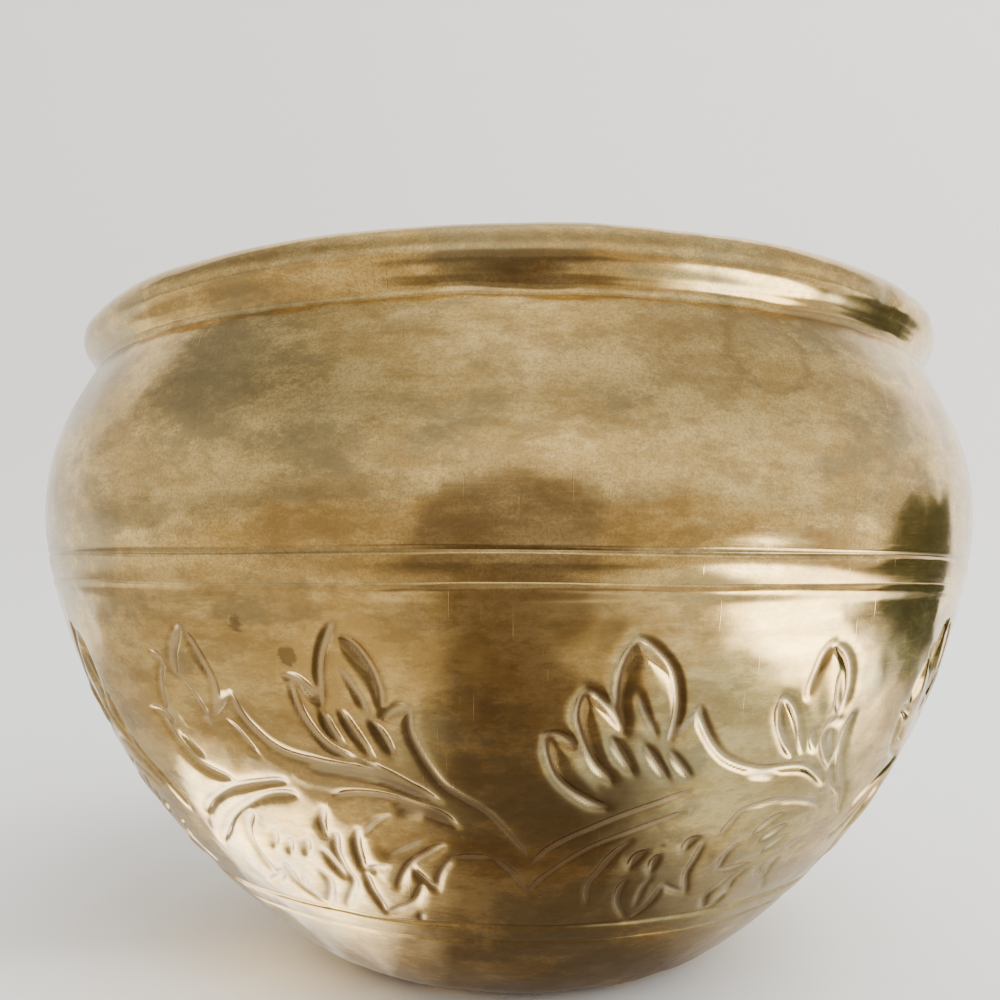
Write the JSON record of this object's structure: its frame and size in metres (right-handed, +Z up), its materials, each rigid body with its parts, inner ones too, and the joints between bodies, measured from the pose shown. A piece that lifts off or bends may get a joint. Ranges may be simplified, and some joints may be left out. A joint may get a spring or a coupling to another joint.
{
  "type": "planter pot",
  "caption": "Round-bellied planter pot of sheet brass with a rolled rim, a lapped belt seam and an embossed leaf frieze",
  "frame": {"origin": "centre of the flat base, on the face that the pot stands on", "axes": "+Z up along the pot's axis of revolution, X and Y horizontal; +Y away from the front that carries the clearest leaves"},
  "size_m": [0.2802, 0.2802, 0.1878],
  "materials": {
    "brass": "satin, aged",
    "braze": "satin",
    "wire": "matt"
  },
  "bodies": {
    "root": {"lower_bowl": "brass", "upper_shell": "brass", "seam_braze": "braze", "rim_wire": "wire"}
  },
  "joints": []
}
